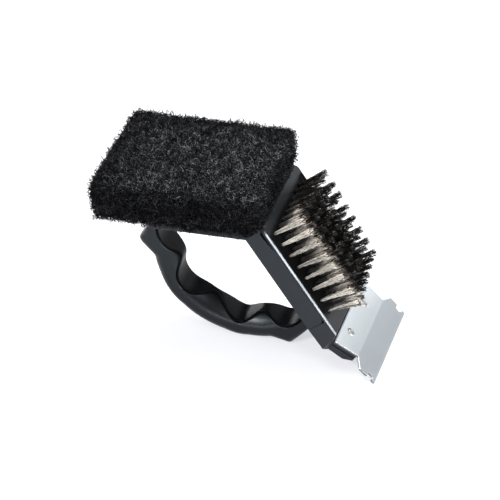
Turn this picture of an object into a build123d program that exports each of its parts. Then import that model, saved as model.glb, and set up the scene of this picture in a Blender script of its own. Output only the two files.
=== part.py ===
from build123d import *
import os
from math import cos, radians, sin

# Grill cleaning brush with three tools on one moulded body.
#
# A V-shaped frame has a level wing that carries a scouring pad and a sloping tray that
# holds a brush head. The head has eight rows of wire tufts and ends in a flange with a
# steel scraper. A looped handle with finger scoops joins the two wings underneath.
#
# Units are millimetres, +Z is up, X runs from the pad's free end to the scraper's edge
# and Y across the brush. The brush stands on the scraper's edge and the handle's heel.
#

# ---- Driving dimensions -----------------------------------------------------------------
BODY_WIDTH = 82.0         # plate, tray and brush head
WALL = 2.4                # moulded wall thickness
CLEAR = 0.2               # gap between the brush head and the tray

FOLD = (17.5, 97.0)       # upper end of the head's rim, in X and Z
TRAY_SLOPE = 55.6         # tray below the horizontal, degrees
TRAY_LENGTH = 70.0        # down the slope
TRAY_DEPTH = 13.6         # rim face to the outside of the tray's floor
HEAD_LENGTH = 81.0        # rim, down the slope
RIM_THICK = 2.0
RIM_BEVEL = 0.9           # shiny edge of the rim
RIM_LIP = 2.0             # raised lip along each side of the tufted face
FACE_RECESS = 1.5         # tufted face below the lip
BARE_END = 7.0            # smooth face above the first row of tufts
CORNER_R = 5.0            # rounded corners of the rim and plate
NOTCH_END = 18.0          # finger notch under the rim, down the slope
NOTCH_DEPTH = 1.5

PLATE_LEFT = -54.0
PLATE_TOP = 91.0
PLATE_SKIN = 2.4
SKIRT_DEPTH = 4.0
RIBS = (-25.0, -12.4, 12.4, 25.0)

PAD_LENGTH = 101.6
PAD_WIDTH = 91.0
PAD_THICK = 22.4
PAD_LEFT = -86.0
PAD_ROUND = 3.0
PAD_GAP = 0.4             # between the pad's leaning corner and the tray
GLUE_THICK = 0.8

ROWS = 8
COLUMNS = 8
TUFT_PITCH = 8.38
FIRST_ROW = 10.8          # down the slope from the fold
HOLE_R = 1.5
HOLE_DEPTH = 6.0
TUFT_FREE = 20.0          # wire length above the tufted face
TUFT_TIP_R = 2.9
STAPLE = (3.8, 0.5, 1.6)  # anchor wire across the bottom of each hole

BLADE_THICK = 1.0
BLADE_EDGE = (86.3, 0.7)  # upper face of the scraping edge, in X and Z
BLADE_SLOPE = 46.0        # free part of the blade
NECK_SLOPE = 37.0         # riveted part of the blade
BLADE_HEAD = 16.8         # free part, edge to bend
BLADE_NECK = 17.1         # riveted part, bend to root
BLADE_HALF = 41.6         # half width at the scraping edge
NECK_HALF = 33.2          # half width at the bend
ROOT_HALF = 36.6          # half width at the root
HOOK_R = 2.3              # round notch for grill rods
HOOK_BACK = 4.6           # its centre, back from the edge
EAR_BACK = 12.6           # widest point of the ear, back from the edge

SLIT_DEPTH = 0.9          # groove along each side of the flange
SLIT_OUT = -3.3
SLIT_HALF = 0.4

RIVET_HALF_GAP = 17.0
RIVET_BACK = 10.0         # behind the bend
RIVET_R = 1.5
RIVET_HEAD_R = 3.0
RIVET_DOME = 1.2
RIVET_GRIP = 5.0          # flange thickness under the blade at the rivets
WASHER_R = 3.6
WASHER_THICK = 0.7

HANDLE_WIDTH = 22.0
HANDLE_DEPTH = 17.6       # outer arc to the finger crests
HANDLE_ROUND = 5.5        # outer edges
CREST_ROUND = 10.4        # nearly full round towards the fingers
GRIP_THICK = 2.2          # scooped cover that closes the shell
SHELL_WALL = 2.6
SPLIT_STEPS = 40          # points on the line between shell and grip
SCREW_R = 1.8
SCREW_HEAD_R = 3.4
SCREW_HEAD = 2.0

# ---- Frames of reference ----------------------------------------------------------------
slope = radians(TRAY_SLOPE)
DOWN = (cos(slope), 0, -sin(slope))
OUT = (sin(slope), 0, cos(slope))
ORIGIN = (FOLD[0], 0, FOLD[1])
TRAY = Plane(origin=ORIGIN, x_dir=DOWN, z_dir=OUT)               # (down, across, out)
TRAY_SIDE = Plane(origin=ORIGIN, x_dir=DOWN, z_dir=(0, -1, 0))   # (down, out)
HALF = BODY_WIDTH / 2
FACE = -FACE_RECESS


def box(plane, along, across, out):
    """A block between two limits on each of a plane's three axes."""
    size = [hi - lo for lo, hi in (along, across, out)]
    middle = [(hi + lo) / 2 for lo, hi in (along, across, out)]
    return plane * Pos(*middle) * Box(*size)


def slab(plane, points, half_width):
    """A closed outline drawn on a side plane, carried equally to both sides."""
    outline = make_face(Polyline(*points, close=True))
    return extrude(plane * outline, amount=half_width, both=True)


def tray_point(down, out):
    """X and Z of a point given in the tray's own directions."""
    return (FOLD[0] + down * DOWN[0] + out * OUT[0], FOLD[1] + down * DOWN[2] + out * OUT[2])


def screw(length, recessed):
    """A countersunk self-tapping screw, head face at the origin, pointing down."""
    head = Pos(0, 0, -SCREW_HEAD / 2) * Cone(SCREW_R, SCREW_HEAD_R, SCREW_HEAD)
    shank_length = length - SCREW_HEAD
    shank = Pos(0, 0, -SCREW_HEAD - shank_length / 2) * Cylinder(SCREW_R, shank_length)
    tip = Pos(0, 0, -length - 0.9) * Cone(0.4, SCREW_R, 1.8)
    solid = head + shank + tip
    if recessed:
        solid -= Box(4.0, 0.9, 2.2) + Box(0.9, 4.0, 2.2)
    return solid


# ---- Frame ------------------------------------------------------------------------------
def make_plate():
    """Level wing: a skin with a skirt and ribs below it."""
    right = tray_point(8.0, -TRAY_DEPTH + WALL)[0]
    across = (-HALF, HALF)
    skirt_bottom = PLATE_TOP - SKIRT_DEPTH
    plate = box(Plane.XY, (PLATE_LEFT, right), across, (skirt_bottom, PLATE_TOP))
    corners = plate.edges().filter_by(Axis.Z).group_by(Axis.X)[0]
    plate = fillet(corners, CORNER_R)
    plate = fillet(plate.faces().sort_by(Axis.Z)[0].edges(), 0.8)
    inner = (PLATE_LEFT + WALL, right + WALL)
    side = HALF - WALL
    hollow = box(Plane.XY, inner, (-side, side), (skirt_bottom, PLATE_TOP - PLATE_SKIN))
    inner_corners = hollow.edges().filter_by(Axis.Z).group_by(Axis.X)[0]
    plate -= fillet(inner_corners, CORNER_R - WALL)
    rib_top = PLATE_TOP - PLATE_SKIN / 2
    for y in RIBS:
        rib = box(Plane.XY, (PLATE_LEFT + 1, 9), (y - 0.8, y + 0.8), (skirt_bottom + 0.8, rib_top))
        plate += rib
    return plate - box(TRAY, (WALL, 60), (-HALF - 1, HALF + 1), (-TRAY_DEPTH + WALL, 30))


def make_tray():
    """Sloping wing: a floor, an upper end wall and two side walls."""
    floor_in = -TRAY_DEPTH + WALL
    step = -RIM_THICK - CLEAR
    floor = box(TRAY, (0, TRAY_LENGTH), (-HALF, HALF), (-TRAY_DEPTH, floor_in))
    end_wall = box(TRAY, (0, WALL), (-HALF, HALF), (-TRAY_DEPTH, step))
    side = [
        (0, -TRAY_DEPTH),
        (TRAY_LENGTH - 1.2, -TRAY_DEPTH),
        (TRAY_LENGTH - 0.3, 0.8 - TRAY_DEPTH),
        (TRAY_LENGTH, 2.4 - TRAY_DEPTH),
        (TRAY_LENGTH, step - 2.4),
        (TRAY_LENGTH - 0.8, step - 0.8),
        (TRAY_LENGTH - 2.8, step),
        (NOTCH_END, step),
        (NOTCH_END / 3, step - NOTCH_DEPTH),
        (WALL, step - NOTCH_DEPTH),
        (WALL, step),
        (0, step),
    ]
    walls = slab(TRAY_SIDE, side, HALF)
    walls -= box(TRAY, (-1, TRAY_LENGTH + 1), (-HALF + WALL, HALF - WALL), (-20, 5))
    return floor + end_wall + walls


def make_frame():
    """The V-shaped moulding."""
    return make_plate() + make_tray()


# ---- Brush head -------------------------------------------------------------------------
def tuft_places():
    """Rows of tuft centres, as (down, across) on the tray."""
    half_span = TUFT_PITCH * (COLUMNS - 1) / 2
    return [
        [(FIRST_ROW + row * TUFT_PITCH, column * TUFT_PITCH - half_span) for column in range(COLUMNS)]
        for row in range(ROWS)
    ]


def neck_plane(back):
    """Plane on the blade's upper face at a distance behind the bend: (along, across, out)."""
    bend = (
        BLADE_EDGE[0] - BLADE_HEAD * cos(radians(BLADE_SLOPE)),
        BLADE_EDGE[1] + BLADE_HEAD * sin(radians(BLADE_SLOPE)),
    )
    angle = radians(NECK_SLOPE)
    x = bend[0] - back * cos(angle)
    z = bend[1] + back * sin(angle)
    return Plane(origin=(x, 0, z), x_dir=(cos(angle), 0, -sin(angle)), z_dir=(sin(angle), 0, cos(angle)))


def flange_outline():
    """Side view of the head's lower end: chin, flange and the seat under the blade."""
    tip = neck_plane(0)
    lower = [
        (-BLADE_NECK - 0.3, -BLADE_THICK),
        (-0.6, -BLADE_THICK),
        (-0.7, -5.3),
        (-6.1, -7.9),
        (-18.4, -7.2),
    ]
    corners = [tip.from_local_coords((along, 0, out)) for along, out in lower]
    return [
        tray_point(TRAY_LENGTH + CLEAR, -RIM_THICK),
        tray_point(HEAD_LENGTH, -RIM_THICK),
        *[(corner.X, corner.Z) for corner in corners],
        tray_point(HEAD_LENGTH + 1.2, -13.2),
        tray_point(TRAY_LENGTH + CLEAR, -TRAY_DEPTH),
    ]


def make_head():
    """Block with rim, tuft holes and scraper flange."""
    depth = TRAY_DEPTH - WALL - CLEAR
    inside = HALF - WALL - CLEAR
    rim = box(TRAY, (0, HEAD_LENGTH), (-HALF, HALF), (-RIM_THICK, 0))
    rim = fillet(rim.edges().filter_by(lambda e: abs(e.tangent_at(0.5).dot(Vector(*OUT))) > 0.99)
                 .sort_by(Axis.X)[0:2], CORNER_R)
    rim = chamfer(rim.faces().sort_by(Axis(ORIGIN, OUT))[-1].edges(), RIM_BEVEL)
    block = box(TRAY, (WALL + CLEAR, TRAY_LENGTH + 1), (-inside, inside), (-depth, -RIM_THICK))
    lower = slab(Plane.XZ, flange_outline(), HALF)
    head = rim + block + lower
    lip = HALF - RIM_LIP
    head -= box(TRAY, (BARE_END, HEAD_LENGTH + 5), (-lip, lip), (FACE, 1))
    flange = neck_plane(0)
    for side in (-1, 1):
        taper = make_face(Polyline(
            (6, side * (NECK_HALF - 1.6)),
            (-BLADE_NECK + 0.5, side * (ROOT_HALF - 0.5)),
            (-BLADE_NECK - 3.0, side * HALF),
            (-BLADE_NECK - 3.0, side * 60),
            (6, side * 60),
            close=True,
        ))
        head -= extrude(flange * taper, amount=14, both=True)
        slit = make_face(Polyline(
            (6, side * (NECK_HALF - 1.6 - SLIT_DEPTH)),
            (-BLADE_NECK + 0.5, side * (ROOT_HALF - 0.5 - SLIT_DEPTH)),
            (-BLADE_NECK + 0.5, side * 60),
            (6, side * 60),
            close=True,
        ))
        head -= extrude(flange * Pos(0, 0, SLIT_OUT) * slit, amount=SLIT_HALF, both=True)
    return head


def make_tuft(down, across):
    """One bundle of wire: straight in its hole, then spreading to the tips."""
    bottom = FACE - HOLE_DEPTH + STAPLE[2]
    stem_length = FACE - bottom
    stem = TRAY * Pos(down, across, bottom + stem_length / 2) * Cylinder(HOLE_R, stem_length)
    spread = TRAY * Pos(down, across, FACE + TUFT_FREE / 2) * Cone(HOLE_R, TUFT_TIP_R, TUFT_FREE)
    return stem + spread


def make_hole(down, across):
    return TRAY * Pos(down, across, FACE - HOLE_DEPTH / 2) * Cylinder(HOLE_R, HOLE_DEPTH)


def make_staple(down, across):
    return TRAY * Pos(down, across, FACE - HOLE_DEPTH + STAPLE[2] / 2) * Box(*STAPLE)


# ---- Scraper ----------------------------------------------------------------------------
def make_blade():
    """Bent sheet with a V step, a rounded ear and a rod notch on each side."""
    neck = neck_plane(0)
    tilt = radians(BLADE_SLOPE)
    head = Plane(origin=neck.origin, x_dir=(cos(tilt), 0, -sin(tilt)), z_dir=(sin(tilt), 0, cos(tilt)))
    half_outline = [
        (0, NECK_HALF),
        (BLADE_HEAD - EAR_BACK, BLADE_HALF + 0.2),
        (BLADE_HEAD - HOOK_BACK - HOOK_R - 0.8, BLADE_HALF),
        (BLADE_HEAD - HOOK_BACK, BLADE_HALF - 1.4),
        (BLADE_HEAD - 1.4, BLADE_HALF),
        (BLADE_HEAD, BLADE_HALF - 0.8),
    ]
    mirrored = [(x, -y) for x, y in reversed(half_outline)]
    sheet = make_face(Polyline(*half_outline, *mirrored, close=True))
    free = extrude(head * sheet, amount=-BLADE_THICK)
    for side in (-1, 1):
        free -= head * Pos(BLADE_HEAD - HOOK_BACK, side * (BLADE_HALF - 1.9)) * Cylinder(HOOK_R, 4)
    held_outline = make_face(Polyline(
        (0, NECK_HALF),
        (0, -NECK_HALF),
        (-BLADE_NECK, -ROOT_HALF),
        (-BLADE_NECK, ROOT_HALF),
        close=True,
    ))
    held = extrude(neck * held_outline, amount=-BLADE_THICK)
    return free + held


def make_rivet(across):
    """Domed head on the blade, shank through the flange, formed end under the washer."""
    seat = neck_plane(RIVET_BACK)
    ball_r = (RIVET_HEAD_R ** 2 + RIVET_DOME ** 2) / (2 * RIVET_DOME)
    dome = Pos(0, 0, RIVET_DOME - ball_r) * Sphere(ball_r) & Pos(0, 0, 5) * Cylinder(RIVET_HEAD_R, 10)
    grip = BLADE_THICK + RIVET_GRIP + WASHER_THICK
    shank = Pos(0, 0, -grip / 2) * Cylinder(RIVET_R, grip)
    formed = Pos(0, 0, -grip - 0.5) * Cone(RIVET_R + 0.2, RIVET_R + 0.9, 1.0)
    return seat * Pos(0, across, 0) * (dome + shank + formed)


def make_washer(across):
    """Flat ring under the flange, in a shallow spot face."""
    ring = Cylinder(WASHER_R, WASHER_THICK) - Cylinder(RIVET_R, 2 * WASHER_THICK)
    under = -BLADE_THICK - RIVET_GRIP - WASHER_THICK / 2
    return neck_plane(RIVET_BACK) * Pos(0, across, under) * ring


def spot_face(across):
    under = -BLADE_THICK - RIVET_GRIP - 3
    return neck_plane(RIVET_BACK) * Pos(0, across, under) * Cylinder(WASHER_R + 0.4, 6)


# ---- Scouring pad -----------------------------------------------------------------------
def make_pad():
    """Thick fibre pad; its lower corner is cut to lean on the tray's upper end."""
    bottom = PLATE_TOP + GLUE_THICK
    right = PAD_LEFT + PAD_LENGTH
    edge = FOLD[0] - PAD_GAP
    lean = FOLD[1] - (edge - right) * OUT[2] / OUT[0]
    foot = edge - (FOLD[1] - bottom) * OUT[0] / OUT[2]
    outline = [
        (PAD_LEFT, bottom),
        (foot, bottom),
        (right, lean),
        (right, bottom + PAD_THICK),
        (PAD_LEFT, bottom + PAD_THICK),
    ]
    pad = slab(Plane.XZ, outline, PAD_WIDTH / 2)
    return fillet(pad.faces().sort_by(Axis.Z)[-1].edges(), PAD_ROUND)


def make_glue():
    foot = FOLD[0] - (FOLD[1] - PLATE_TOP) * OUT[0] / OUT[2]
    return box(Plane.XY, (PLATE_LEFT + 3, foot - 1), (-HALF + 3, HALF - 3), (PLATE_TOP, PLATE_TOP + GLUE_THICK))


# ---- Handle -----------------------------------------------------------------------------
SCOOPS = [
    (-36.0, PLATE_TOP), (-53.9, 70.0), (-48.0, 56.4), (-40.8, 49.6), (-42.2, 39.5),
    (-33.0, 27.0), (-20.8, 26.2), (-12.4, 17.8), (-3.2, 11.8), (9.6, 18.6),
    (21.6, 13.1), (34.0, 20.0), (37.6, 46.0),
]
OUTER_ARC = [
    (-49.6, 95.0), (-58.0, 70.0), (-57.6, 50.0), (-50.6, 30.6), (-30.0, 9.9), (-2.6, 1.5),
    (22.0, 4.4), (37.0, 14.6), (46.0, 33.4),
]
UPPER_HEEL = [(-54.0, 81.0), (-67.0, 59.2), (-55.0, 46.5)]
LOWER_HEEL = [(6.0, 4.0), (26.4, -0.2), (42.0, 22.0)]


def heel(corners):
    """Wedge that stands out of the bar's outer face at one end of the arc."""
    wedge = slab(Plane.XZ, corners, HANDLE_WIDTH / 2 - 2)
    edges = wedge.edges().filter_by(Axis.Y)
    return fillet(edges.sort_by_distance((corners[1][0], 0, corners[1][1]))[0], 2.0)


def bar(inset, depth, round_out, round_in):
    """Rounded section carried along the outer arc, inset from it on three sides."""
    path = Spline(*[(x, 0, z) for x, z in OUTER_ARC])
    start = Plane(origin=path @ 0, x_dir=(0, 1, 0), z_dir=path % 0)
    half = HANDLE_WIDTH / 2 - inset
    section = Pos(0, (inset + depth) / 2) * Rectangle(2 * half, depth - inset)
    corners = section.vertices().group_by(Axis.Y)
    section = fillet(corners[0], round_out)
    section = fillet(section.vertices().group_by(Axis.Y)[-1], round_in)
    return sweep(start * section, path=path)


def finger_space(distance):
    """Everything inside the loop down to the scooped line, or to a line below it."""
    line = Spline(*[(x, 0, z) for x, z in SCOOPS])
    points = []
    for index in range(SPLIT_STEPS + 1):
        along = line % (index / SPLIT_STEPS)
        points.append(line @ (index / SPLIT_STEPS) + Vector(-along.Z, 0, along.X) * -distance)
    edge = Spline(*points)
    above = (points[0].X + 10, 0, points[0].Z + 15)
    beside = (points[-1].X + 30, 0, points[-1].Z + 30)
    region = make_face(Curve() + [edge, Polyline(points[-1], beside, above, points[0])])
    return extrude(region, amount=HANDLE_WIDTH, both=True)


def make_handle():
    """Rounded bar with both heels, fitted between the two wings of the frame."""
    outside = bar(0, HANDLE_DEPTH, HANDLE_ROUND, CREST_ROUND) - finger_space(0)
    outside = outside + heel(UPPER_HEEL) + heel(LOWER_HEEL)
    outside -= box(Plane.XY, (-90, 10), (-20, 20), (PLATE_TOP - PLATE_SKIN, 120))
    return outside - box(TRAY, (0, 120), (-20, 20), (-TRAY_DEPTH, 60))


def make_channel():
    """Hollow inside the shell; both ends stay solid for the screws."""
    core = bar(SHELL_WALL, HANDLE_DEPTH - SHELL_WALL, 3.0, 7.0)
    middle = box(Plane.XY, (-70, 18), (-20, 20), (-10, 62))
    return core & middle


# ---- Screws -----------------------------------------------------------------------------
def top_screw(across, recessed=False):
    """Down through the plate, under the pad, into the handle's upper end."""
    return Pos(-49.2, across, PLATE_TOP) * screw(9.0, recessed)


def end_screw(across, recessed=False):
    """Through the tray's floor, under the head, into the handle's lower end."""
    x, z = tray_point(65.0, -TRAY_DEPTH + WALL)
    return Plane(origin=(x, 0, z), x_dir=DOWN, z_dir=OUT) * Pos(0, across, 0) * screw(7.0, recessed)


def head_screw(across, recessed=False):
    """Through the tray's floor from behind, between the tuft holes, into the head."""
    x, z = tray_point(FIRST_ROW + 2.5 * TUFT_PITCH, -TRAY_DEPTH)
    back = Plane(origin=(x, 0, z), x_dir=DOWN, z_dir=(-OUT[0], 0, -OUT[2]))
    return back * Pos(0, across, 0) * screw(8.0, recessed)


# ---- Assembly ---------------------------------------------------------------------------
places = tuft_places()
rows = [[make_tuft(*place) for place in row] for row in places]
holes = [make_hole(*place) for row in places for place in row]
staples = [make_staple(*place) for row in places for place in row]
rivets = [make_rivet(side * RIVET_HALF_GAP) for side in (-1, 1)]
washers = [make_washer(side * RIVET_HALF_GAP) for side in (-1, 1)]
top_screws = [top_screw(side * 5.0) for side in (-1, 1)]
end_screws = [end_screw(side * 6.0) for side in (-1, 1)]
head_screws = [head_screw(side * 3 * TUFT_PITCH) for side in (-1, 1)]

frame = make_frame() - top_screws - end_screws - head_screws
blade = make_blade() - rivets
head = make_head() - holes - staples - head_screws
for side in (-1, 1):
    head -= spot_face(side * RIVET_HALF_GAP)
head = head - rivets - make_blade()
handle = make_handle() - make_frame() - top_screws - end_screws
cover = finger_space(GRIP_THICK)
grip = handle & cover
shell = handle - cover - make_channel()

NODES = {"frame": [frame], "brush_head": [head]}
for index, row in enumerate(rows):
    NODES[f"tuft_row_{index + 1}"] = row
NODES["tuft_staples"] = staples
NODES["scraper_blade"] = [blade]
NODES["scraper_rivets"] = rivets
NODES["rivet_washers"] = washers
NODES["scouring_pad"] = [make_pad()]
NODES["pad_adhesive"] = [make_glue()]
NODES["handle_shell"] = [shell]
NODES["handle_grip"] = [grip]
NODES["handle_top_screws"] = [top_screw(side * 5.0, True) for side in (-1, 1)]
NODES["handle_end_screws"] = [end_screw(side * 6.0, True) for side in (-1, 1)]
NODES["head_screws"] = [head_screw(side * 3 * TUFT_PITCH, True) for side in (-1, 1)]

boxes = [solid.bounding_box() for solids in NODES.values() for solid in solids]
left = min(limits.min.X for limits in boxes)
right = max(limits.max.X for limits in boxes)
bottom = min(limits.min.Z for limits in boxes)
to_origin = Pos(-(left + right) / 2, 0, -bottom)

os.makedirs("parts", exist_ok=True)
for name, solids in NODES.items():
    moved = [to_origin * solid for solid in solids]
    export_step(Compound(children=moved), f"parts/{name}.step")
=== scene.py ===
import math

import bpy
import numpy as np
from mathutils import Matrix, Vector


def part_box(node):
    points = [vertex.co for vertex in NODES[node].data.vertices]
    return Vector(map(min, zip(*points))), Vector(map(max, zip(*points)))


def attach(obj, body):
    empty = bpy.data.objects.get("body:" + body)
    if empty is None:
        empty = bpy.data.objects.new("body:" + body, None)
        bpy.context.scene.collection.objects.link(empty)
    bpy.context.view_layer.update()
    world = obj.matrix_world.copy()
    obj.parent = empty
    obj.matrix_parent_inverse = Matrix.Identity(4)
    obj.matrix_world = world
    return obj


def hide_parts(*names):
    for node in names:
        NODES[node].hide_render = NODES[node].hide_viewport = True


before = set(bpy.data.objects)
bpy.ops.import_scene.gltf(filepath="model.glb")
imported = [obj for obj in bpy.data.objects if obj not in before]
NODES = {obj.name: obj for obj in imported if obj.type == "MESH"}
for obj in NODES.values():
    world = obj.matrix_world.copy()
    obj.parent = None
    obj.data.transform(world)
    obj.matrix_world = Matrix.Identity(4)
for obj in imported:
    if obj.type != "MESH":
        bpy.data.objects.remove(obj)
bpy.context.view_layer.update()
MM = 0.001

# ---- Places, from the part's own drawing to the shared frame ------------------------------------
DRAWN_PAD_END = -86.0 * MM
DRAWN_PLATE_TOP = 91.0 * MM
SHIFT_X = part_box("scouring_pad")[0].x - DRAWN_PAD_END
SHIFT_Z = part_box("pad_adhesive")[0].z - DRAWN_PLATE_TOP
SLOPE = math.radians(55.6)
DOWN = np.array((math.cos(SLOPE), 0.0, -math.sin(SLOPE)))
ACROSS = np.array((0.0, 1.0, 0.0))
OUT = np.array((math.sin(SLOPE), 0.0, math.cos(SLOPE)))
FOLD = np.array((17.5 * MM + SHIFT_X, 0.0, 97.0 * MM + SHIFT_Z))  # where plate and tray meet
ROWS = 8
COLUMNS = 8
PITCH = 8.38 * MM
FIRST_ROW = 10.8 * MM   # from the fold, along DOWN
FACE = -1.5 * MM        # the head's face from the fold, along OUT
TUFT_LENGTH = 20.5 * MM
TINY = 1e-12            # keeps divisions by a length safe


# ---- Node helpers ---------------------------------------------------------------------------
# Extent of the painted shade on the head's face between the tufts
TUFT_SHADE_MIDDLE = 3.3 * PITCH       # from the first row, along DOWN
TUFT_SHADE_HALF_LENGTH = 4.0 * PITCH
TUFT_SHADE_HALF_WIDTH = 4.7 * PITCH


def set_stops(ramp, stops):
    """Give a colour ramp its stops, each a place with a grey or a colour."""
    elements = ramp.color_ramp.elements
    while len(elements) < len(stops):
        elements.new(0.5)
    for element, (place, colour) in zip(elements, stops):
        element.position = place
        element.color = (*(colour if hasattr(colour, "__len__") else (colour,) * 3), 1.0)


class Nodes:
    """A material's node tree, with short calls for the nodes used here."""

    def __init__(self, name):
        self.material = bpy.data.materials.new(name)
        self.material.use_nodes = True
        self.tree = self.material.node_tree
        self.shader = self.tree.nodes["Principled BSDF"]
        self.coords = self.add("ShaderNodeTexCoord").outputs["Object"]

    def add(self, kind, **settings):
        node = self.tree.nodes.new(kind)
        for key, value in settings.items():
            setattr(node, key, value)
        return node

    def link(self, source, target):
        self.tree.links.new(source, target)

    def set(self, **values):
        for key, value in values.items():
            self.shader.inputs[key.replace("_", " ")].default_value = value

    def mapped(self, scale, rotation=(0, 0, 0)):
        node = self.add("ShaderNodeMapping")
        node.inputs["Scale"].default_value = scale
        node.inputs["Rotation"].default_value = rotation
        self.link(self.coords, node.inputs["Vector"])
        return node.outputs["Vector"]

    def noise(self, scale, detail=3.0, rough=0.55, vector=None, distortion=0.0):
        node = self.add("ShaderNodeTexNoise")
        node.inputs["Scale"].default_value = scale
        node.inputs["Detail"].default_value = detail
        node.inputs["Roughness"].default_value = rough
        node.inputs["Distortion"].default_value = distortion
        self.link(vector or self.coords, node.inputs["Vector"])
        return node.outputs["Fac"]

    def ramp(self, value, stops):
        node = self.add("ShaderNodeValToRGB")
        set_stops(node, stops)
        self.link(value, node.inputs["Fac"])
        return node.outputs["Color"]

    def math(self, operation, a, b):
        node = self.add("ShaderNodeMath", operation=operation)
        for socket, value in zip(node.inputs, (a, b)):
            if isinstance(value, (int, float)):
                socket.default_value = value
            else:
                self.link(value, socket)
        return node.outputs[0]

    def mix(self, factor, a, b, blend="MIX"):
        node = self.add("ShaderNodeMix", data_type="RGBA", blend_type=blend)
        for index, value in ((0, factor), (6, a), (7, b)):
            socket = node.inputs[index]
            if hasattr(value, "is_output"):
                self.link(value, socket)
            elif index:
                socket.default_value = (*value, 1.0)
            else:
                socket.default_value = value
        return node.outputs[2]

    def dot(self, direction):
        node = self.add("ShaderNodeVectorMath", operation="DOT_PRODUCT")
        self.link(self.coords, node.inputs[0])
        node.inputs[1].default_value = tuple(direction)
        return node.outputs["Value"]

    def steepness(self):
        """How far the surface faces sideways, 0 to 1."""
        split = self.add("ShaderNodeSeparateXYZ")
        self.link(self.add("ShaderNodeNewGeometry").outputs["True Normal"], split.inputs[0])
        return self.math("ABSOLUTE", split.outputs[1], 0.0)

    def tufted_area(self):
        """1 on the face between the wire tufts, fading to 0 at its ends and at the rim."""
        middle = float(FOLD @ DOWN) + FIRST_ROW + TUFT_SHADE_MIDDLE
        down = self.math("ABSOLUTE", self.math("SUBTRACT", self.dot(DOWN), middle), 0.0)
        along = self.math("DIVIDE", down, TUFT_SHADE_HALF_LENGTH)
        across = self.math("DIVIDE", self.math("ABSOLUTE", self.dot(ACROSS), 0.0), TUFT_SHADE_HALF_WIDTH)
        inside = self.ramp(along, [(0.84, 1.0), (1.14, 0.0)])
        between = self.ramp(across, [(0.94, 1.0), (0.98, 0.0)])
        return self.mix(1.0, inside, between, "MULTIPLY")

    def bevel(self, radius):
        node = self.add("ShaderNodeBevel", samples=4)
        node.inputs["Radius"].default_value = radius
        return node.outputs["Normal"]

    def bump(self, height, distance, strength=1.0, normal=None):
        node = self.add("ShaderNodeBump")
        node.inputs["Strength"].default_value = strength
        node.inputs["Distance"].default_value = distance
        self.link(height, node.inputs["Height"])
        if normal is not None:
            self.link(normal, node.inputs["Normal"])
        return node.outputs["Normal"]

    def tone(self):
        """The random number each wire or fibre carries."""
        return self.add("ShaderNodeAttribute", attribute_name="tone").outputs["Fac"]

    def soft(self, specular):
        self.shader.inputs["Specular IOR Level"].default_value = specular

    def finish(self, colour=None, roughness=None, normal=None):
        for socket, value in (("Base Color", colour), ("Roughness", roughness), ("Normal", normal)):
            if value is not None:
                self.link(value, self.shader.inputs[socket])
        return self.material


# ---- Materials ------------------------------------------------------------------------------
COOL_TINT = (0.84, 0.92, 1.0, 1.0)
# Painted highlight: colour of the head's side chamfers
PAINTED_RIM_HIGHLIGHT = (0.08, 0.084, 0.09)
# Painted shade: colour of the head's face between the tufts
PAINTED_TUFT_SHADE = (0.0012, 0.0012, 0.0013)
RIM_HIGHLIGHT_ROUGH, TUFT_SHADE_ROUGH, TUFT_SHADE_SPECULAR = 0.15, 0.7, 0.06


def moulded_plastic(name, dark, light, rough, edge, specular, rim_highlight=False, drawn=False):
    """Satin moulded plastic with a fine grain and faint flow marks. With the rim option the side
    chamfers get a painted highlight and the face between the tufts gets painted shade; a drawn one
    has streaks across the handle."""
    n = Nodes(name)
    patches = n.noise(38.0, 4.0)
    fine = n.noise(2600.0, 2.0, 0.6)
    colour = n.mix(n.ramp(patches, [(0.35, 0.0), (0.7, 1.0)]), dark, light)
    roughness = n.ramp(n.mix(0.5, patches, fine), [(0.3, rough - 0.06), (0.75, rough + 0.07)])
    normal = n.bump(fine, 0.00003, 0.6, n.bevel(edge))
    normal = n.bump(n.noise(90.0, 1.0), 0.0001, 0.25, normal)
    if drawn:
        streaks = n.noise(1300.0, 2.0, 0.6, n.mapped((0.05, 1.0, 0.05)))
        normal = n.bump(streaks, 0.00008, 0.8, normal)
        pale = tuple(4.0 * c for c in light)
        colour = n.mix(n.ramp(streaks, [(0.45, 0.0), (0.75, 0.7)]), colour, pale)
    n.soft(specular)
    n.set(Specular_Tint=COOL_TINT)
    if rim_highlight:
        # Painted highlight: the head's side chamfers are coloured lighter and made glossier, in uneven
        # patches
        painted_highlight = n.ramp(n.steepness(), [(0.60, 0.0), (0.66, 1.0), (0.76, 1.0), (0.82, 0.0)])
        highlight_patches = n.ramp(n.noise(60.0, 2.0), [(0.35, 0.75), (0.65, 1.0)])
        painted_highlight = n.mix(1.0, painted_highlight, highlight_patches, "MULTIPLY")
        colour = n.mix(painted_highlight, colour, PAINTED_RIM_HIGHLIGHT)
        roughness = n.mix(painted_highlight, roughness, (RIM_HIGHLIGHT_ROUGH,) * 3)
        # Painted shade: the face between the tufts is coloured near black, made rougher and given
        # little specular
        tuft_shade = n.tufted_area()
        colour = n.mix(tuft_shade, colour, PAINTED_TUFT_SHADE)
        roughness = n.mix(tuft_shade, roughness, (TUFT_SHADE_ROUGH,) * 3)
        glint = n.ramp(tuft_shade, [(0.0, specular), (1.0, TUFT_SHADE_SPECULAR)])
        n.link(glint, n.shader.inputs["Specular IOR Level"])
    return n.finish(colour, roughness, normal)


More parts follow.
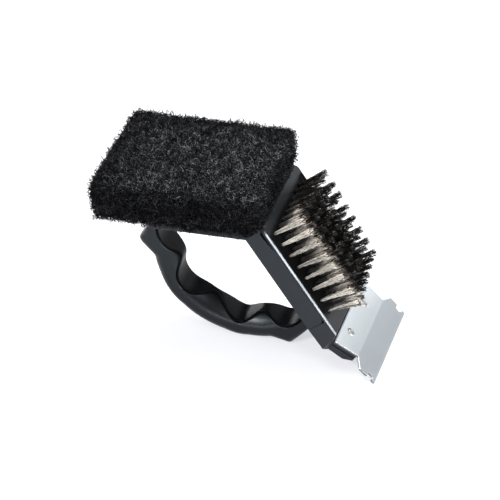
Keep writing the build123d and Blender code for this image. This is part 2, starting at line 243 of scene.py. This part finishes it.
def sheet_steel(name):
    """Stamped stainless sheet, paler at its root as a painted reflection, with a faint rolling grain,
    handling marks and darker sheared edges, which are duller steel and partly painted shade."""
    n = Nodes(name)
    grain = n.noise(900.0, 3.0, 0.6, n.mapped((1.0, 0.03, 1.0)))
    cloud = n.noise(45.0, 3.0)
    marks = n.noise(420.0, 1.0, 0.5, n.mapped((0.12, 1.0, 0.12), (0.3, 0.5, 0.8)))
    root, edge = (corner.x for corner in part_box("scraper_blade"))
    along = n.math("DIVIDE", n.math("SUBTRACT", n.dot((1.0, 0.0, 0.0)), root), edge - root)
    # Painted reflection: the steel is coloured paler towards its root and darker towards the free edge
    root_reflection_ramp = n.ramp(along, [
        (0.08, (0.69, 0.74, 0.77)), (0.48, (0.51, 0.55, 0.575)), (1.0, (0.47, 0.51, 0.54)),
    ])
    colour = n.mix(n.ramp(cloud, [(0.3, 0.0), (0.75, 0.12)]), root_reflection_ramp, (0.72, 0.77, 0.80))
    colour = n.mix(n.ramp(marks, [(0.62, 0.0), (0.75, 0.16)]), colour, (0.52, 0.53, 0.53))
    # Darker sheared edges: duller steel, and partly painted shade that hides the floor's reflection
    sheared = n.ramp(n.steepness(), [(0.5, 0.0), (0.8, 1.0)])
    colour = n.mix(sheared, colour, (0.16, 0.16, 0.165))
    roughness = n.ramp(n.mix(0.5, grain, cloud), [(0.3, 0.38), (0.75, 0.48)])
    n.set(Metallic=1.0)
    return n.finish(colour, roughness, n.bump(grain, 0.000006, 0.4, n.bevel(0.0016)))


def small_steel(name, base, rough):
    """Plain steel of rivets, washers and screws, with light tarnish."""
    n = Nodes(name)
    cloud = n.noise(700.0, 3.0)
    colour = n.mix(n.ramp(cloud, [(0.35, 0.0), (0.7, 1.0)]), base, tuple(0.72 * c for c in base))
    roughness = n.ramp(cloud, [(0.3, rough), (0.75, rough + 0.14)])
    n.set(Metallic=1.0)
    return n.finish(colour, roughness, n.bump(cloud, 0.00003, 0.4))


WIRE_FADE = 26.0 * MM       # height over which bare wire turns dark


def tuft_wire(name):
    """Crimped wire: bare steel at the base and dark at the tips, with painted glints on a few wires.
    Painted shade makes the dark start lower towards the back and darkens the roots behind the front
    column."""
    n = Nodes(name)
    height = n.math("SUBTRACT", n.dot(OUT), float(FOLD @ OUT) + FACE)
    tone = n.tone()
    uneven = n.math("MULTIPLY", n.noise(420.0, 2.0), 0.009)
    wander = n.math("ADD", uneven, n.math("MULTIPLY", tone, -0.005))
    uneven_height = n.math("ADD", height, wander)
    # Painted shade: the dark reaches lower on the columns further back
    lower = n.math("ADD", n.math("MULTIPLY", n.dot(ACROSS), 0.45), 0.0056)
    share = n.math("DIVIDE", n.math("ADD", uneven_height, lower), WIRE_FADE)
    colour = n.ramp(share, [
        (0.05, (0.90, 0.86, 0.79)), (0.54, (0.84, 0.78, 0.70)), (0.59, (0.14, 0.11, 0.085)),
        (0.66, (0.006, 0.0055, 0.005)), (1.0, (0.002, 0.002, 0.002)),
    ])
    # Painted highlight: pale glints painted on a few wires
    glints = n.ramp(n.noise(900.0, 2.0, 0.7), [(0.54, 0.0), (0.60, 1.0)])
    glints = n.mix(1.0, glints, n.ramp(tone, [(0.80, 0.0), (0.86, 0.5)]), "MULTIPLY")
    colour = n.mix(glints, colour, (0.62, 0.56, 0.48))
    shade = n.ramp(tone, [(0.0, 0.02), (0.30, 0.40), (0.75, 1.0), (1.0, 1.0)])
    colour = n.mix(1.0, colour, shade, "MULTIPLY")
    # Painted shade: the roots of the columns behind the front one are coloured near black
    behind = n.math("DIVIDE", n.math("ADD", n.dot(ACROSS), 4.0 * PITCH), 2.0 * PITCH)
    inside = n.ramp(behind, [(0.45, 0.0), (0.55, 0.9)])
    low_on_wire = n.ramp(n.math("DIVIDE", uneven_height, TUFT_LENGTH), [(0.42, 1.0), (0.66, 0.0)])
    root_shade = n.mix(1.0, inside, low_on_wire, "MULTIPLY")
    colour = n.mix(root_shade, colour, (0.012, 0.010, 0.008))
    metal = n.ramp(share, [(0.3, 0.45), (0.72, 0.05)])
    n.link(metal, n.shader.inputs["Metallic"])
    n.soft(0.16)
    roughness = n.ramp(share, [(0.2, 0.36), (0.8, 0.6)])
    return n.finish(colour, roughness, n.bump(n.noise(2200.0, 2.0), 0.00002, 0.4))


def pad_fibre(name, dark, light, rough, toned):
    """Black resin-bonded fibre with grit on it; some fibres are greyer than others."""
    n = Nodes(name)
    patches = n.noise(260.0, 3.0)
    grit = n.noise(1900.0, 2.0, 0.7)
    blend = n.ramp(n.mix(0.85, patches, grit), [(0.48, 0.0), (0.58, 1.0)])
    n.soft(0.06)
    if toned:
        blend = n.mix(1.0, blend, n.tone(), "MULTIPLY")
    colour = n.mix(blend, dark, light)
    roughness = n.ramp(grit, [(0.3, rough - 0.1), (0.7, rough + 0.12)])
    return n.finish(colour, roughness, n.bump(grit, 0.00008, 0.7))


def glue(name):
    """Dried contact adhesive, yellowish and uneven."""
    n = Nodes(name)
    cloud = n.noise(160.0, 3.0)
    colour = n.mix(n.ramp(cloud, [(0.3, 0.0), (0.7, 1.0)]), (0.50, 0.45, 0.33), (0.36, 0.32, 0.24))
    return n.finish(colour, n.ramp(cloud, [(0.3, 0.35), (0.7, 0.55)]), n.bump(cloud, 0.0004, 0.5))


FRAME_PLASTIC = moulded_plastic(
    "frame_plastic", (0.0040, 0.0046, 0.0056), (0.0062, 0.0070, 0.0084), 0.42, 0.0005, 0.30)
HEAD_PLASTIC = moulded_plastic(
    "head_plastic", (0.0040, 0.0047, 0.0058), (0.0062, 0.0070, 0.0085), 0.42, 0.0002, 0.32,
    rim_highlight=True)
HANDLE_PLASTIC = moulded_plastic(
    "handle_plastic", (0.0016, 0.0018, 0.0021), (0.0030, 0.0034, 0.0038), 0.32, 0.0008, 0.30)
GRIP_PLASTIC = moulded_plastic(
    "grip_plastic", (0.0013, 0.0014, 0.0019), (0.0024, 0.0027, 0.0033), 0.42, 0.0006, 0.05,
    drawn=True)
BLADE = sheet_steel("blade_steel")
RIVET = small_steel("rivet_steel", (0.66, 0.66, 0.66), 0.34)
SCREW = small_steel("screw_steel", (0.46, 0.46, 0.45), 0.34)
WIRE = tuft_wire("wire_steel")
FIBRE = pad_fibre("pad_fibre", (0.0006, 0.0006, 0.0010), (0.32, 0.34, 0.36), 0.56, True)
MATTED = pad_fibre("pad_core", (0.001, 0.001, 0.0012), (0.004, 0.004, 0.0045), 0.9, False)
GLUE = glue("adhesive")

CAD_FINISH = {
    "frame": FRAME_PLASTIC, "brush_head": HEAD_PLASTIC, "handle_shell": HANDLE_PLASTIC,
    "handle_grip": GRIP_PLASTIC, "scraper_blade": BLADE, "scraper_rivets": RIVET,
    "rivet_washers": RIVET, "tuft_staples": WIRE, "handle_top_screws": SCREW,
    "handle_end_screws": SCREW, "head_screws": SCREW, "pad_adhesive": GLUE,
}
for node, finish in CAD_FINISH.items():
    for slot in NODES[node].material_slots:
        slot.material = finish


# ---- Mesh helpers ---------------------------------------------------------------------------
def mesh_object(name, points, triangles, material, node=None, tone=None):
    """A piece from points and triangles, riding on the object's one body."""
    mesh = bpy.data.meshes.new(name)
    mesh.vertices.add(len(points))
    mesh.vertices.foreach_set("co", np.asarray(points, np.float32).ravel())
    mesh.loops.add(3 * len(triangles))
    mesh.loops.foreach_set("vertex_index", np.asarray(triangles, np.int32).ravel())
    mesh.polygons.add(len(triangles))
    mesh.polygons.foreach_set("loop_start", np.arange(0, 3 * len(triangles), 3, dtype=np.int32))
    mesh.polygons.foreach_set("use_smooth", np.ones(len(triangles), bool))
    mesh.update(calc_edges=True)
    if tone is not None:
        mesh.attributes.new("tone", "FLOAT", "POINT").data.foreach_set("value", tone.astype(np.float32))
    mesh.materials.append(material)
    piece = bpy.data.objects.new(name, mesh)
    bpy.context.scene.collection.objects.link(piece)
    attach(piece, "root")
    if node:
        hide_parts(node)
    return piece


def weld(piece):
    """Join the points that patches of one skin share."""
    piece.modifiers.new("weld", "WELD").merge_threshold = 0.00001


def halves(a, b, c, d):
    """The two triangles of every quad a, b, c, d."""
    return [np.stack([a, b, c], -1).reshape(-1, 3), np.stack([a, c, d], -1).reshape(-1, 3)]


SIDES = 3                       # of a wire or fibre
HELPER_SKEW = (0.31, -0.47, 0.23)


def strands(centre, radius):
    """Closed thin tubes along many lines at once: points (strands, steps, 3) and radius
    (strands, steps)."""
    count, steps, _ = centre.shape
    along = np.gradient(centre, axis=1)
    along /= np.linalg.norm(along, axis=2, keepdims=True) + TINY
    helper = np.roll(along.mean(axis=1, keepdims=True), 1, axis=2) + HELPER_SKEW
    first = np.cross(along, np.broadcast_to(helper, along.shape))
    first /= np.linalg.norm(first, axis=2, keepdims=True) + TINY
    second = np.cross(along, first)
    turn = 2 * np.pi * np.arange(SIDES) / SIDES
    ring = first[:, :, None] * np.cos(turn)[:, None] + second[:, :, None] * np.sin(turn)[:, None]
    points = (centre[:, :, None] + ring * radius[:, :, None, None]).reshape(-1, 3)
    start = (np.arange(count)[:, None, None] * steps + np.arange(steps - 1)[None, :, None]) * SIDES
    corner = np.arange(SIDES)[None, None, :]
    after = (corner + 1) % SIDES
    a, b = start + corner, start + after
    base = np.arange(count)[:, None] * steps * SIDES
    low = np.concatenate([base, base + 2, base + 1], 1)
    high = np.concatenate([base, base + 1, base + 2], 1) + (steps - 1) * SIDES
    return points, np.concatenate([*halves(a, b, b + SIDES, a + SIDES), low, high])


# ---- Wire tufts -----------------------------------------------------------------------------
WIRES = 48
WIRE_STEPS = 12
WIRE_R = 0.165 * MM
ROOT_SPREAD, TIP_SPREAD = 0.80, 1.30        # mm, the second added on the way to the tips
BEND, LEAN = 0.32, 0.45                     # mm at the tips, of a wire and of a whole tuft
CRIMP = 0.17 * MM
SUNK = 0.6 * MM                             # wires start this far below the face
LONGEST, WORN = 1.04, 0.18                  # shares of TUFT_LENGTH
LAST_DOWN, LAST_FORWARD = 3.0, 1.2          # mm the last row's front tufts are pushed over


def tuft(rng, down, across):
    """Centre lines of one bundle's wires: tight in the hole, crimped, then frayed at the tips."""
    share = np.linspace(0, 1, WIRE_STEPS)[None, :]
    angle = rng.uniform(0, 2 * np.pi, WIRES)[:, None]
    ring = np.sqrt(rng.uniform(0, 1, WIRES))[:, None]
    row = (down - FIRST_ROW) / (PITCH * (ROWS - 1))
    back = across / (PITCH * (COLUMNS - 1)) + 0.5
    length = TUFT_LENGTH * (LONGEST - WORN * row * back) * rng.uniform(0.95, 1.03, WIRES)[:, None]
    spread = ring * (ROOT_SPREAD + TIP_SPREAD * share) * MM
    bend = rng.normal(0, BEND, (2, WIRES))[:, :, None] * share ** 2 * MM
    phase = rng.uniform(0, 2 * np.pi, (2, WIRES))[:, :, None]
    turns = rng.uniform(3.6, 5.2, WIRES)[:, None]
    crimp = CRIMP * np.minimum(1.0, 3 * share) * (1 + 0.7 * share)
    s = down + spread * np.cos(angle) + bend[0] + crimp * np.sin(2 * np.pi * turns * share + phase[0])
    y = across + spread * np.sin(angle) + bend[1] + crimp * np.sin(2 * np.pi * turns * share + phase[1])
    n = FACE - SUNK + (length + SUNK) * share
    tilt = rng.normal(0, LEAN, 2)
    s = s + (tilt[0] + LAST_DOWN * row ** 5 * (1.1 - back)) * MM * share ** 1.5
    y = y + (tilt[1] - LAST_FORWARD * row ** 5 * (1 - back)) * MM * share ** 1.5
    return FOLD + s[..., None] * DOWN + y[..., None] * ACROSS + n[..., None] * OUT


def make_tufts():
    rng = np.random.default_rng(11)
    places = [(column - (COLUMNS - 1) / 2) * PITCH for column in range(COLUMNS)]
    for row in range(ROWS):
        lines = np.concatenate([tuft(rng, FIRST_ROW + row * PITCH, y) for y in places])
        taper = np.linspace(1.0, 0.85, WIRE_STEPS)[None, :] * np.ones((len(lines), 1))
        points, triangles = strands(lines, WIRE_R * taper)
        name = f"wires_row_{row + 1}"
        tone = np.repeat(rng.uniform(0, 1, len(lines)), SIDES * WIRE_STEPS)
        mesh_object(name, points, triangles, WIRE, f"tuft_row_{row + 1}", tone)


# ---- Scouring pad ---------------------------------------------------------------------------
PAD_LOW, PAD_HIGH = (np.array(corner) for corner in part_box("scouring_pad"))
PAD_R = 3.2 * MM
SKEW, END_LEAN, BACK_OUT, BACK_UP = 2.6, 3.0, 1.6, 0.9      # mm the pad has slumped
TRAY_EDGE = 1.0 * MM        # top of the tray's upper end, along OUT
OVER_PLATE, BESIDE_PLATE = 0.5 * MM, 1.4 * MM               # lowest fibres, below the pad
CORE_STEP = 1.25 * MM
CORE_SUNK = -1.1 * MM
SMALL_LUMPS, BIG_LUMPS = 0.45 * MM, 0.2 * MM
ANY_PHASE = 6.3             # a full turn, near enough
FIBRE_STEPS = 7
FIBRE_STEP = 1.25 * MM
FIBRE_R = 0.165 * MM
DARK_EDGE = 24 * MM         # fibres this close to the left and back edges are darker
UNDER_MARGIN = 18 * MM      # fibres under the pad stop this far left of its middle


def on_pad(points, height):
    """Points wrapped round the pad's rounded block at a height above its skin."""
    inner = np.clip(points, PAD_LOW + PAD_R, PAD_HIGH - PAD_R)
    away = points - inner
    away /= np.linalg.norm(away, axis=-1, keepdims=True) + TINY
    return inner + away * (PAD_R + height)[..., None]


def slumped(points):
    """Points of the square pad moved to its slumped shape: the back edge stands out and is a
    little higher, and the left end leans inwards and is skewed."""
    back = (points[..., 1] - PAD_LOW[1]) / (PAD_HIGH[1] - PAD_LOW[1])
    left = np.clip((PAD_HIGH[0] - points[..., 0]) / (PAD_HIGH[0] - PAD_LOW[0]), 0, 1)
    high = (points[..., 2] - PAD_LOW[2]) / (PAD_HIGH[2] - PAD_LOW[2])
    inwards = left * (SKEW * back + END_LEAN * (1 - high))
    return points + np.stack([inwards, BACK_OUT * back ** 2, BACK_UP * back * high], -1) * MM


def clear_of_body(points, gap):
    """Points kept off the tray's upper end and the plate under the pad."""
    rel = points - FOLD
    s, n = rel @ DOWN, rel @ OUT
    past = np.maximum(s + gap, 0) * (n < TRAY_EDGE)
    points = points - past[..., None] * DOWN
    plate_low, plate_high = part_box("frame")
    over = (points[..., 0] > plate_low.x - gap) & (np.abs(points[..., 1]) < plate_high.y + gap)
    floor = np.where(over, PAD_LOW[2] - OVER_PLATE, PAD_LOW[2] - BESIDE_PLATE)
    points[..., 2] = np.maximum(points[..., 2], floor)
    return points


def waves(points, seed, low, high, count=14):
    """Smooth noise from a few sine waves of random direction, wavelengths in mm."""
    rng = np.random.default_rng(seed)
    total = np.zeros(points.shape[:-1])
    for _ in range(count):
        direction = rng.normal(size=3)
        direction /= np.linalg.norm(direction)
        length = rng.uniform(low, high) * MM
        total += np.sin(points @ direction * 2 * np.pi / length + rng.uniform(0, ANY_PHASE))
    return total / math.sqrt(count / 2)


def pad_core():
    """The matted middle of the pad: a rounded block with a lumpy skin."""
    points, triangles, base = [], [], 0
    for axis in range(3):
        u, v = (axis + 1) % 3, (axis + 2) % 3
        nu = int((PAD_HIGH[u] - PAD_LOW[u]) / CORE_STEP)
        nv = int((PAD_HIGH[v] - PAD_LOW[v]) / CORE_STEP)
        gu, gv = np.meshgrid(np.linspace(PAD_LOW[u], PAD_HIGH[u], nu + 1),
                             np.linspace(PAD_LOW[v], PAD_HIGH[v], nv + 1), indexing="ij")
        for side, limit in ((0, PAD_LOW[axis]), (1, PAD_HIGH[axis])):
            grid = np.zeros((nu + 1, nv + 1, 3))
            grid[..., u], grid[..., v], grid[..., axis] = gu, gv, limit
            index = base + np.arange((nu + 1) * (nv + 1)).reshape(nu + 1, nv + 1)
            low, high = index[:-1], index[1:]
            skin = np.concatenate(halves(low[:, :-1], high[:, :-1], high[:, 1:], low[:, 1:]))
            triangles.append(skin if side else skin[:, ::-1])
            points.append(grid.reshape(-1, 3))
            base += grid.size // 3
    points = np.concatenate(points)
    lumps = CORE_SUNK + SMALL_LUMPS * waves(points, 3, 2.2, 4.5)
    lumps = lumps + BIG_LUMPS * waves(points, 4, 8, 16)
    points = clear_of_body(slumped(on_pad(points, lumps)), 0.3 * MM)
    triangles = np.concatenate(triangles)
    core = mesh_object("pad_core", points, triangles, MATTED, "scouring_pad")
    weld(core)
    return core


def fibres(rng, count, axis, side, span_low, span_high, wild):
    """Centre lines of curly fibres lying on one face of the pad and over its edges."""
    u, v = (axis + 1) % 3, (axis + 2) % 3
    start = np.zeros((count, 3))
    start[:, u] = rng.uniform(span_low[0], span_high[0], count)
    start[:, v] = rng.uniform(span_low[1], span_high[1], count)
    start[:, axis] = (PAD_LOW, PAD_HIGH)[side][axis]
    curl = rng.normal(0, 0.50, (count, 1)) + rng.normal(0, 0.45, (count, FIBRE_STEPS))
    heading = rng.uniform(0, 2 * np.pi, (count, 1)) + np.cumsum(curl, axis=1)
    step = FIBRE_STEP * rng.uniform(0.7, 1.25, (count, 1))
    moves = np.zeros((count, FIBRE_STEPS, 3))
    moves[..., u] = np.cos(heading) * step
    moves[..., v] = np.sin(heading) * step
    line = start[:, None] + np.cumsum(moves, axis=1)
    loose = (rng.uniform(0, 1, (count, 1)) < wild) * 1.0
    middle = rng.uniform(-1.6, 1.1, (count, 1)) * MM + loose * 0.7 * MM
    swing = (rng.uniform(0.4, 1.3, (count, 1)) + loose * rng.uniform(0.6, 2.0, (count, 1))) * MM
    turn = rng.uniform(0.6, 1.5, (count, 1)) * np.arange(FIBRE_STEPS)[None, :]
    height = middle + swing * np.sin(turn + rng.uniform(0, ANY_PHASE, (count, 1)))
    return clear_of_body(slumped(on_pad(line, height)), 0.45 * MM)


def make_pad():
    core = pad_core()
    rng = np.random.default_rng(23)
    lo, hi = PAD_LOW, PAD_HIGH
    mid = (lo[0] + hi[0]) / 2
    patches = [
        ("pad_fibres_top_left", 4700, 2, 1, (lo[0], lo[1]), (mid, hi[1])),
        ("pad_fibres_top_right", 4700, 2, 1, (mid, lo[1]), (hi[0], hi[1])),
        ("pad_fibres_front", 2700, 1, 0, (lo[2], lo[0]), (hi[2], hi[0])),
        ("pad_fibres_back", 2500, 1, 1, (lo[2], lo[0]), (hi[2], hi[0])),
        ("pad_fibres_left", 2100, 0, 0, (lo[1], lo[2]), (hi[1], hi[2])),
        ("pad_fibres_right", 1600, 0, 1, (lo[1], lo[2] + 3 * MM), (hi[1], hi[2])),
        ("pad_fibres_under", 1400, 2, 0, (lo[0], lo[1]), (mid - UNDER_MARGIN, hi[1])),
    ]
    for name, count, axis, side, low, high in patches:
        top = axis == 2 and side == 1
        lines = fibres(rng, count, axis, side, low, high, 0.22 if top else 0.34)
        width = rng.uniform(0.75, 1.25, (count, 1)) * FIBRE_R * np.ones((1, FIBRE_STEPS))
        points, triangles = strands(lines, width)
        edge = np.minimum(lines[:, 0, 0] - lo[0], hi[1] - lines[:, 0, 1])
        # Painted shade: fibres on the pad's sides and underside are coloured darker than those on top;
        # on top they darken towards the left and back edges
        grey = 0.15 + 1.05 * np.clip(edge / DARK_EDGE, 0, 1) if top else 0.4
        tone = np.repeat(grey * rng.uniform(0, 1, count) ** 4, SIDES * FIBRE_STEPS)
        mesh_object(name, points, triangles, FIBRE, tone=tone)


# ---- Handle, drawn in mm as (x, z) ----------------------------------------------------------
ARC = [
    (-49.6, 95.0), (-58.0, 70.0), (-57.6, 50.0), (-50.6, 30.6), (-30.0, 9.9), (-2.6, 1.5),
    (22.0, 4.4), (37.0, 14.6), (46.0, 33.4), (50.0, 46.0),
]
SCOOPS = [
    (-34.0, 97.0), (-40.0, 88.0), (-53.9, 70.0), (-48.0, 56.4), (-40.8, 49.6), (-42.2, 39.5),
    (-33.0, 27.0), (-20.8, 26.2), (-12.4, 17.8), (-3.2, 11.8), (9.6, 18.6),
    (21.6, 13.1), (34.0, 20.0), (36.2, 31.0), (37.6, 46.0), (38.0, 60.0),
]
HEELS = [
    [(-53.0, 83.0), (-66.8, 60.4), (-66.4, 58.4), (-55.0, 46.5)],
    [(11.0, 2.6), (17.0, 2.1), (26.4, 0.0), (27.6, 0.1), (44.0, 18.0), (47.0, 26.0)],
]
HALF_WIDTH = 11.0
TAPER_START = 6.0
TAPER = 0.064
RIDGE_HALF = 1.3
GROOVE_LOW = 1.45
GROOVE_HIGH = 0.55
GROOVE_DEEP = 0.9
CORNER_R = 5.2
STATIONS = 260
SCOOP_STATIONS = 900
PLATE_UNDERSIDE = 89.6 * MM     # drawn height where the handle's upper end stops
TRAY_BACK = -12.6 * MM          # along OUT, where its lower end stops
ENDS_PART = 60 * MM             # height that tells the two ends apart


def spline(points, count):
    """Smooth curve through points: a natural cubic over the chord length."""
    points = np.array(points)
    t = np.concatenate([[0], np.cumsum(np.linalg.norm(np.diff(points, axis=0), axis=1))])
    gap = np.diff(t)
    size = len(points)
    matrix = np.eye(size)
    right = np.zeros((size, 2))
    for k in range(1, size - 1):
        matrix[k, k - 1:k + 2] = gap[k - 1], 2 * (gap[k - 1] + gap[k]), gap[k]
        right[k] = 6 * ((points[k + 1] - points[k]) / gap[k] - (points[k] - points[k - 1]) / gap[k - 1])
    second = np.linalg.solve(matrix, right)
    at = np.linspace(0, t[-1], count)
    k = np.clip(np.searchsorted(t, at, side="right") - 1, 0, size - 2)
    h = gap[k][:, None]
    a = (t[k + 1] - at)[:, None]
    b = (at - t[k])[:, None]
    return (second[k] * a ** 3 / (6 * h) + second[k + 1] * b ** 3 / (6 * h)
            + (points[k] / h - second[k] * h / 6) * a + (points[k + 1] / h - second[k + 1] * h / 6) * b)


def reach(base, along, inward, line):
    """Distance from each base point along its inward direction to a line, or 0 where it misses."""
    found = np.zeros(len(base))
    for index, (origin, tangent, normal) in enumerate(zip(base, along, inward)):
        a = (line - origin) @ tangent
        cross = np.nonzero((a[:-1] <= 0) & (a[1:] > 0))[0]
        depths = []
        for k in cross:
            share = a[k] / (a[k] - a[k + 1])
            depths.append((line[k] + share * (line[k + 1] - line[k]) - origin) @ normal)
        if depths:
            found[index] = min(depths, key=abs)
    return found


def smooth(values, width):
    """Running average with a rounded window."""
    kernel = np.hanning(2 * width + 1)
    return np.convolve(np.pad(values, width, mode="edge"), kernel / kernel.sum(), mode="valid")


def half_width(depth):
    """Half the handle's width at a depth: straight sides that close in towards the crests."""
    return np.maximum(HALF_WIDTH - TAPER * np.maximum(depth - TAPER_START, 0) ** 2, RIDGE_HALF)


def shell_section(heel, depth):
    """Half of the shell's closed section, from the middle outside to the middle under the grip."""
    top = depth - GROOVE_LOW
    r = np.minimum(CORNER_R, 0.45 * (top + heel))
    rows = [(np.zeros_like(r), -heel), (0.5 * (HALF_WIDTH - r), -heel)]
    for turn in np.radians(np.linspace(0, 90, 8)):
        rows.append((HALF_WIDTH - r + r * np.sin(turn), -heel + r - r * np.cos(turn)))
    low = r - heel
    for share in np.linspace(0, 1, 14)[1:]:
        d = low + (top - 0.25 - low) * share
        rows.append((half_width(d), d))
    edge = half_width(top)
    rows += [(edge - 0.12, top - 0.07), (edge - 0.35, top), (edge - 2.2, top)]
    rows += [(0.5 * edge, top), (0 * edge, top)]
    return rows


def grip_section(heel, depth):
    """Half of the grip's closed section, from the middle below to the middle of the scooped face."""
    low, lip = depth - GROOVE_LOW, depth - GROOVE_HIGH
    neck = half_width(low) - GROOVE_DEEP
    edge = half_width(lip)
    rows = [(0 * edge, low), (0.5 * neck, low), (neck, low), (neck, lip - 0.1), (edge - 0.3, lip)]
    rows += [(edge - 0.06, lip + 0.1), (edge - 0.02, lip + 0.28)]
    rows += [(edge - 0.25, depth - 0.08), (edge - 0.7, depth)]
    for share in np.linspace(1, 0, 8)[1:]:
        rows.append(((edge - 0.7) * share, depth + 0.12 * (1 - share ** 2)))
    return rows


def trimmed(lines, keep):
    """Lengthwise lines cut back at both ends to where keep becomes positive."""
    for k in range(lines.shape[1]):
        good = np.nonzero(keep[:, k] > 0)[0]
        first, last = good[0], good[-1]
        if first > 0:
            share = keep[first - 1, k] / (keep[first - 1, k] - keep[first, k])
            lines[:first, k] = lines[first - 1, k] + share * (lines[first, k] - lines[first - 1, k])
        if last < len(lines) - 1:
            share = keep[last, k] / (keep[last, k] - keep[last + 1, k])
            lines[last + 1:, k] = lines[last, k] + share * (lines[last + 1, k] - lines[last, k])
    return lines


def loft(name, rows, base, inward, material, nodes):
    """A closed skin through mirrored half sections along the handle."""
    half = np.stack([np.stack([np.broadcast_to(y, len(base)), d], -1) for y, d in rows], 1)
    mirror = half[:, 1:-1][:, ::-1] * (-1, 1)
    ring = np.concatenate([half, mirror], 1)
    flat = base[:, None] + ring[..., 1:] * inward[:, None]
    lines = np.stack([flat[..., 0], ring[..., 0], flat[..., 1]], -1) * MM + (SHIFT_X, 0, SHIFT_Z)
    plate = PLATE_UNDERSIDE + SHIFT_Z - lines[..., 2]
    tray = TRAY_BACK - (lines - FOLD) @ OUT
    lines = trimmed(lines, np.where(lines[..., 2] > ENDS_PART, plate, tray))
    count, size = lines.shape[:2]
    index = np.arange(count * size).reshape(count, size)
    after = np.roll(index, -1, 1)
    walls = halves(index[:-1], after[:-1], after[1:], index[1:])
    ends = []
    for row, order in ((index[0], 1), (index[-1], -1)):
        for k in range(1, size // 2):
            quad = row[k - 1 if k > 1 else 0], row[k], row[size - k], row[(size - k + 1) % size]
            ends += [(quad[0], quad[3], quad[2])[::order], (quad[0], quad[2], quad[1])[::order]]
        ends.append((row[size // 2 - 1], row[size // 2 + 1], row[size // 2])[::order])
    triangles = np.concatenate(walls + [np.array(ends)])
    piece = mesh_object(name, lines.reshape(-1, 3), triangles, material)
    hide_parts(*nodes)
    weld(piece)


def make_handle():
    base = spline(ARC, STATIONS)
    along = np.gradient(base, axis=0)
    along /= np.linalg.norm(along, axis=1, keepdims=True)
    inward = np.stack([-along[:, 1], along[:, 0]], -1)
    depth = reach(base, along, inward, spline(SCOOPS, SCOOP_STATIONS))
    heel = np.zeros(STATIONS)
    for corners in HEELS:
        heel = np.maximum(heel, -reach(base, along, inward, np.array(corners)))
    heel = smooth(heel, 2)
    held = depth > 0
    base, inward, heel, depth = base[held], inward[held], heel[held], smooth(depth[held], 3)
    loft("handle_shell_skin", shell_section(heel, depth), base, inward,
         HANDLE_PLASTIC, ["handle_shell"])
    loft("handle_grip_skin", grip_section(heel, depth), base, inward,
         GRIP_PLASTIC, ["handle_grip"])


make_tufts()
make_pad()
make_handle()


# ---- Camera, floor and light ----------------------------------------------------------------
OBJECT_MIDDLE = (0.0, 0.0, 0.06)
SKY_STOPS = [(0.0, (0.194, 0.196, 0.20)), (0.45, (0.1164, 0.1176, 0.12)), (1.0, 1.0)]


def look_at(thing, target):
    thing.rotation_euler = (Vector(target) - thing.location).to_track_quat("-Z", "Y").to_euler()


def make_camera():
    azimuth, elevation, distance = math.radians(14.3), math.radians(30.6), 2.63
    aim = Vector((SHIFT_X - 0.00015, 0.0, 0.0561))
    away = Vector((math.sin(azimuth) * math.cos(elevation), -math.cos(azimuth) * math.cos(elevation),
                   math.sin(elevation)))
    data = bpy.data.cameras.new("camera")
    data.lens = 316.8
    data.sensor_width = 36.0
    data.clip_end = 50.0
    camera = bpy.data.objects.new("camera", data)
    camera.location = aim + away * distance
    bpy.context.scene.collection.objects.link(camera)
    look_at(camera, aim)
    bpy.context.scene.camera = camera


def make_floor():
    half, height = 6.0, -0.0002
    corners = [(x * half, y * half, height) for x, y in ((-1, -1), (1, -1), (1, 1), (-1, 1))]
    mesh = bpy.data.meshes.new("floor")
    mesh.from_pydata(corners, [], [(0, 1, 2, 3)])
    n = Nodes("floor_paper")
    colour = n.ramp(n.noise(3.0, 2.0), [(0.3, (0.39, 0.39, 0.395)), (0.7, (0.41, 0.41, 0.415))])
    mesh.materials.append(n.finish(colour))
    n.set(Roughness=0.9, Emission_Color=(0.95, 0.955, 1.0, 1.0), Emission_Strength=0.62)
    floor = bpy.data.objects.new("floor", mesh)
    bpy.context.scene.collection.objects.link(floor)


def area_light(name, place, size, power):
    data = bpy.data.lights.new(name, "AREA")
    data.shape = "RECTANGLE"
    data.size, data.size_y = size
    data.energy = power
    light = bpy.data.objects.new(name, data)
    light.location = place
    bpy.context.scene.collection.objects.link(light)
    look_at(light, OBJECT_MIDDLE)


def make_lights():
    world = bpy.data.worlds.new("studio")
    world.use_nodes = True
    tree = world.node_tree
    background = tree.nodes["Background"]
    coords = tree.nodes.new("ShaderNodeTexCoord")
    split = tree.nodes.new("ShaderNodeSeparateXYZ")
    ramp = tree.nodes.new("ShaderNodeValToRGB")
    set_stops(ramp, SKY_STOPS)
    tree.links.new(coords.outputs["Generated"], split.inputs[0])
    tree.links.new(split.outputs["Z"], ramp.inputs["Fac"])
    tree.links.new(ramp.outputs["Color"], background.inputs["Color"])
    bpy.context.scene.world = world
    area_light("key", (-0.12, 0.45, 1.45), (0.55, 0.55), 42.0)
    area_light("front", (-0.35, -1.15, 0.95), (0.24, 0.24), 14.0)
    area_light("right_box", (1.19, -0.78, 0.44), (0.5, 0.36), 20.0)
    area_light("back_card", (0.60, 1.32, 0.52), (0.7, 0.6), 2.5)
    area_light("left_card", (-0.85, 1.28, 0.20), (0.35, 0.22), 3.0)
    area_light("low_front", (-0.33, -1.5, 0.14), (1.0, 0.12), 6.0)
    bpy.context.scene.view_settings.view_transform = "Standard"


make_camera()
make_floor()
make_lights()
